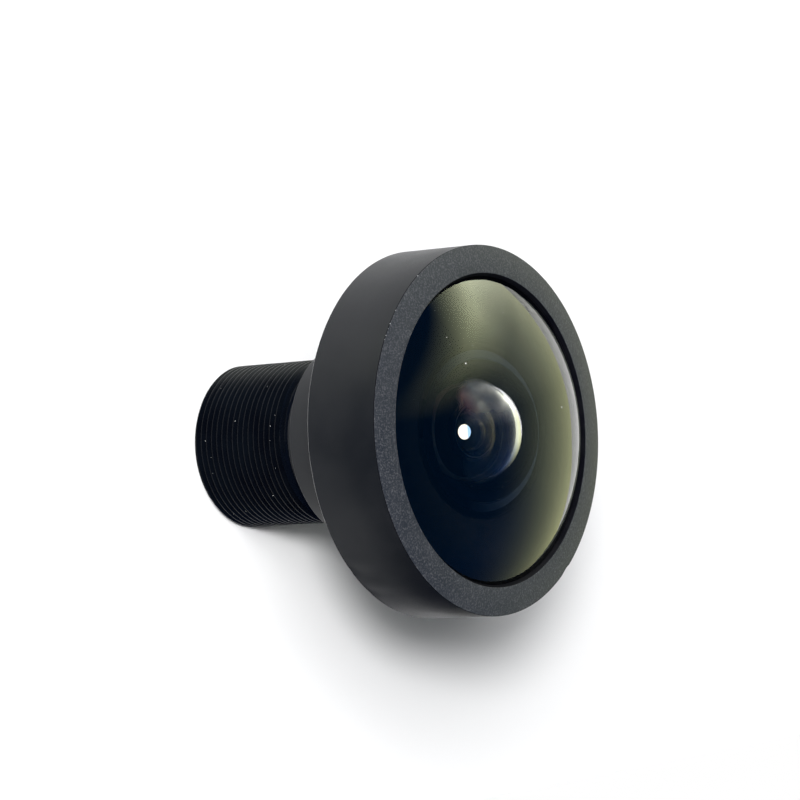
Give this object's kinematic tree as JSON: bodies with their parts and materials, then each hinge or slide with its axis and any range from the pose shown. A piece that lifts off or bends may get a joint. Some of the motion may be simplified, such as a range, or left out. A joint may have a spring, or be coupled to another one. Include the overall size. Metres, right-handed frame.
{
  "type": "fisheye lens",
  "caption": "Fixed-focus fisheye lens with a bulging front element, a cup-shaped front cap, a stepped barrel and a fine mounting thread.",
  "frame": {"origin": "centre of the barrel's rear face, which is the bottom centre of the lens as it stands on that face", "axes": "+Z along the optical axis from the mounting thread to the front element; +X along the retainer's spanner slots"},
  "size_m": [0.0264, 0.0264, 0.0268],
  "materials": {
    "black_anodised_aluminium": "satin black anodised",
    "optical_glass": "polished and coated, with blackened edges",
    "filter_glass": "polished flat disc with a pink and green sheen",
    "black_film": "matte black",
    "black_rubber": "matte black",
    "blackened_brass": "chemically blackened"
  },
  "bodies": {
    "root": {"barrel": "black_anodised_aluminium", "front_cap": "black_anodised_aluminium", "front_element": "optical_glass", "front_seal": "black_rubber", "light_shield": "black_film", "second_element": "optical_glass", "front_spacer": "black_anodised_aluminium", "aperture_stop": "blackened_brass", "third_element": "optical_glass", "middle_shield": "black_film", "middle_spacer": "black_anodised_aluminium", "crown_element": "optical_glass", "flint_element": "optical_glass", "rear_shield": "black_film", "rear_spacer": "black_anodised_aluminium", "rear_element": "optical_glass", "filter_spacer": "black_anodised_aluminium", "infrared_filter": "filter_glass", "filter_gasket": "black_rubber", "rear_retainer": "black_anodised_aluminium"}
  },
  "joints": []
}
